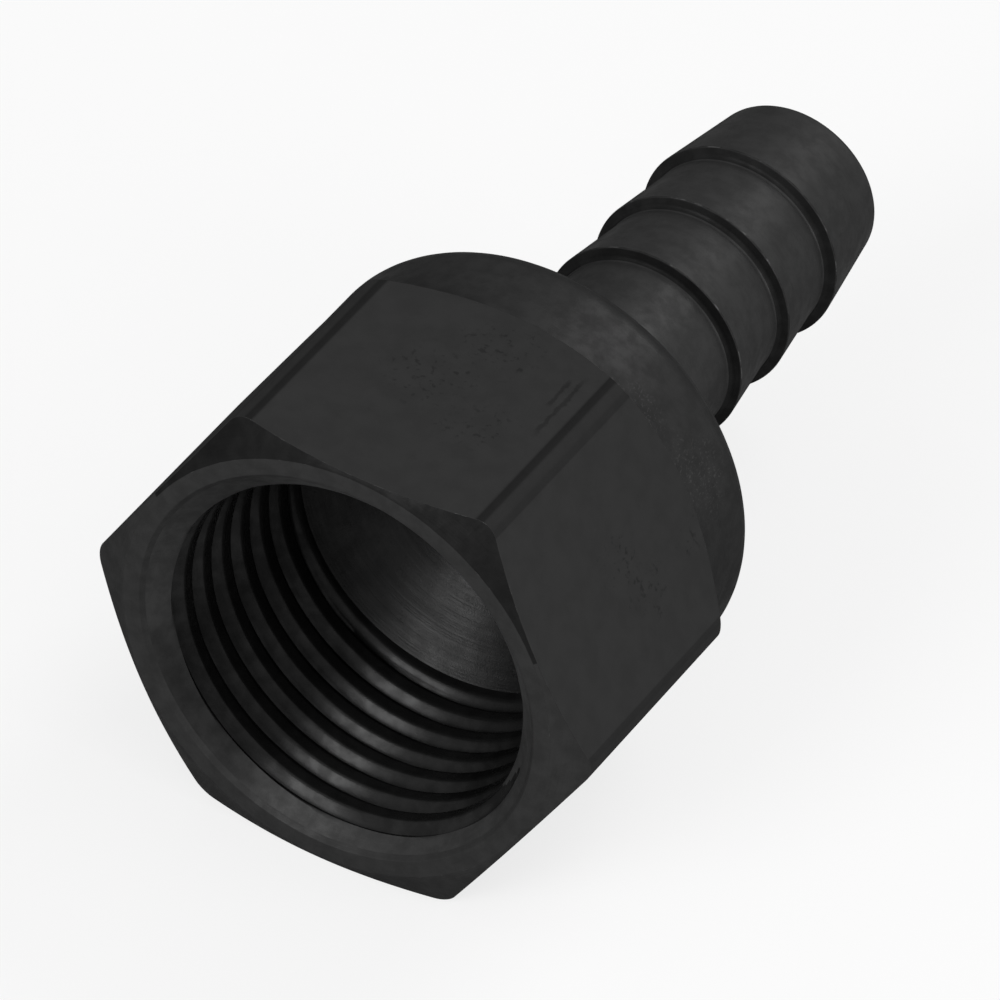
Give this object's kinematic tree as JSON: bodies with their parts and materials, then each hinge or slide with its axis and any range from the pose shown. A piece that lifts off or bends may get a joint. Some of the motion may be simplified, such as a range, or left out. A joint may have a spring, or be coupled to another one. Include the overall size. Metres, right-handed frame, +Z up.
{
  "type": "female pipe thread hose barb",
  "caption": "One-piece hose fitting: hexagonal body with a female pipe thread, rounded shoulder, neck and a barbed hose tail, in blackened metal.",
  "frame": {"origin": "centre of the mouth face, on the axis of the fitting", "axes": "+Y along the axis from the mouth to the barbed tail, +Z up out of the upper flat of the hexagon, X across two corners; the fitting lies on its lower flat"},
  "size_m": [0.0288, 0.0483, 0.0254],
  "materials": {
    "blackened_metal": "black oxide, semi-gloss, turned and lightly mottled"
  },
  "bodies": {
    "root": {"hose_fitting": "blackened_metal"}
  },
  "joints": []
}
